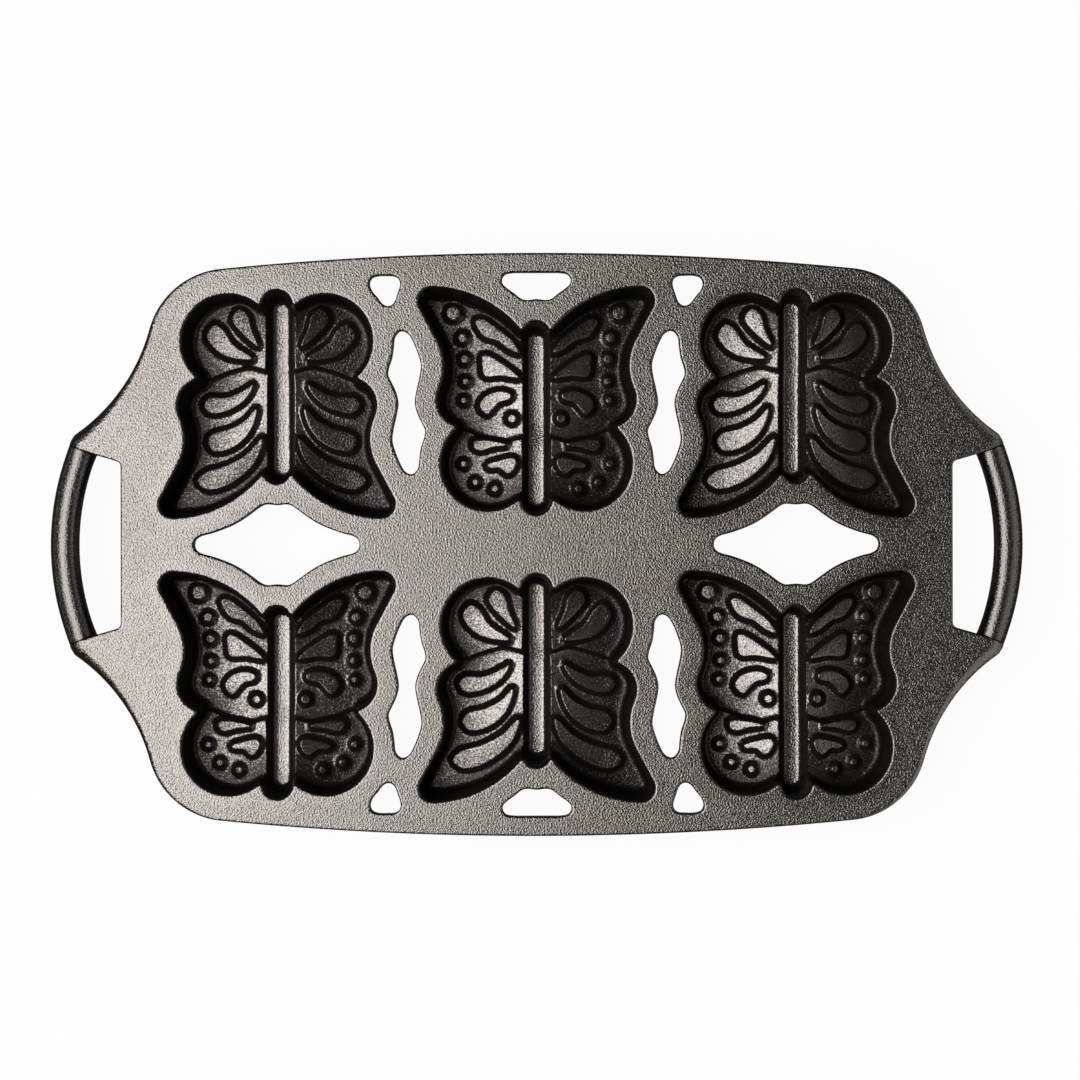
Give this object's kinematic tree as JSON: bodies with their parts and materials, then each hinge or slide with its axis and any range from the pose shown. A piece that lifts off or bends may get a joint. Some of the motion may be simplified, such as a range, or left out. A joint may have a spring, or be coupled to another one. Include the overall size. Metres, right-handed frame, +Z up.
{
  "type": "cast iron cake pan",
  "caption": "Flat cast iron baking pan with butterfly-shaped cups sunk in a vented deck and a round loop handle at each end, for baking small moulded cakes.",
  "frame": {"origin": "middle of the pan in plan, on the table under the keels of the cups", "axes": "+X along the pan's length to the right-hand grip, +Y to the upper long edge of the picture, +Z up out of the cups"},
  "size_m": [0.4026, 0.24, 0.0255],
  "materials": {
    "deck_iron": "sand-cast, seasoned, satin",
    "cup_iron": "sand-cast, seasoned, satin",
    "grip_iron": "sand-cast, seasoned, satin"
  },
  "bodies": {
    "root": {"deck_plate": "deck_iron", "cup_upper_left": "cup_iron", "cup_upper_middle": "cup_iron", "cup_upper_right": "cup_iron", "cup_lower_left": "cup_iron", "cup_lower_middle": "cup_iron", "cup_lower_right": "cup_iron", "grip_left": "grip_iron", "grip_right": "grip_iron"}
  },
  "joints": []
}
